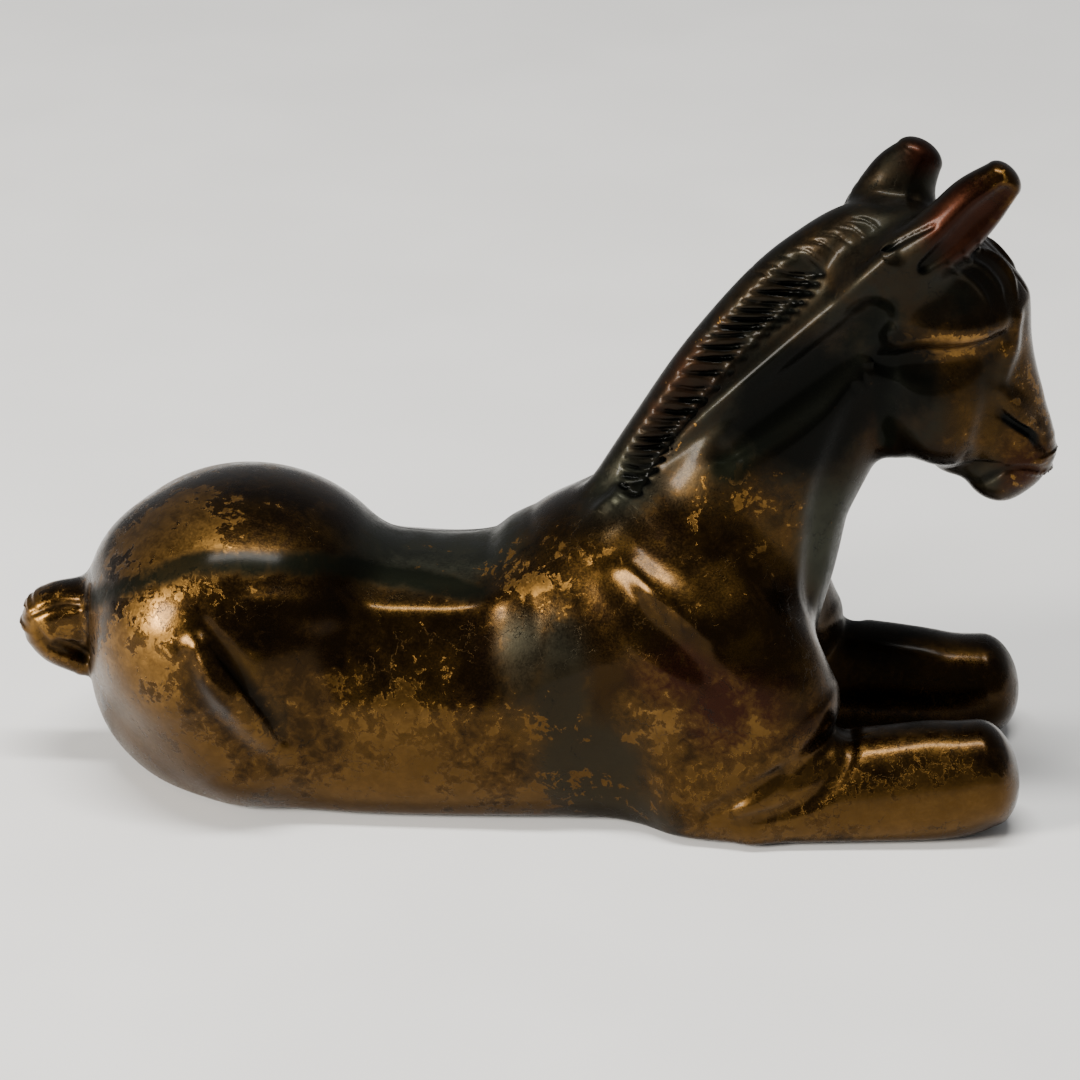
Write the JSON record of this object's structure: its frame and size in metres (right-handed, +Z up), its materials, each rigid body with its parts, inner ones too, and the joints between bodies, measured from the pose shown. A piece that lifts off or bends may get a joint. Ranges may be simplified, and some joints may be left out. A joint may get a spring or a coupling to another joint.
{
  "type": "bronze foal statuette",
  "caption": "Small cast bronze foal lying down with its neck raised and forelegs stretched forward, hollow underneath, an ornament that stands free on a shelf or desk.",
  "frame": {"origin": "middle of the footprint, on the surface that the foal lies on", "axes": "+X from tail to nose, +Y to the foal's own left, +Z up"},
  "size_m": [0.1386, 0.0496, 0.0915],
  "materials": {
    "bronze": "cast bronze, worn brown patina, waxed",
    "pin_bronze": "bare filed bronze"
  },
  "bodies": {
    "root": {"trunk_casting": "bronze", "neck_casting": "bronze", "head_casting": "bronze", "right_ear": "bronze", "left_ear": "bronze", "right_foreleg": "bronze", "left_foreleg": "bronze", "right_hind_leg": "bronze", "left_hind_leg": "bronze", "tail": "bronze", "head_pin": "pin_bronze", "right_neck_pin": "pin_bronze", "left_neck_pin": "pin_bronze", "right_foreleg_pin": "pin_bronze", "left_foreleg_pin": "pin_bronze", "right_hind_leg_pin": "pin_bronze", "left_hind_leg_pin": "pin_bronze", "tail_pin": "pin_bronze", "right_flank_plug": "pin_bronze", "left_flank_plug": "pin_bronze", "back_plug": "pin_bronze"}
  },
  "joints": []
}
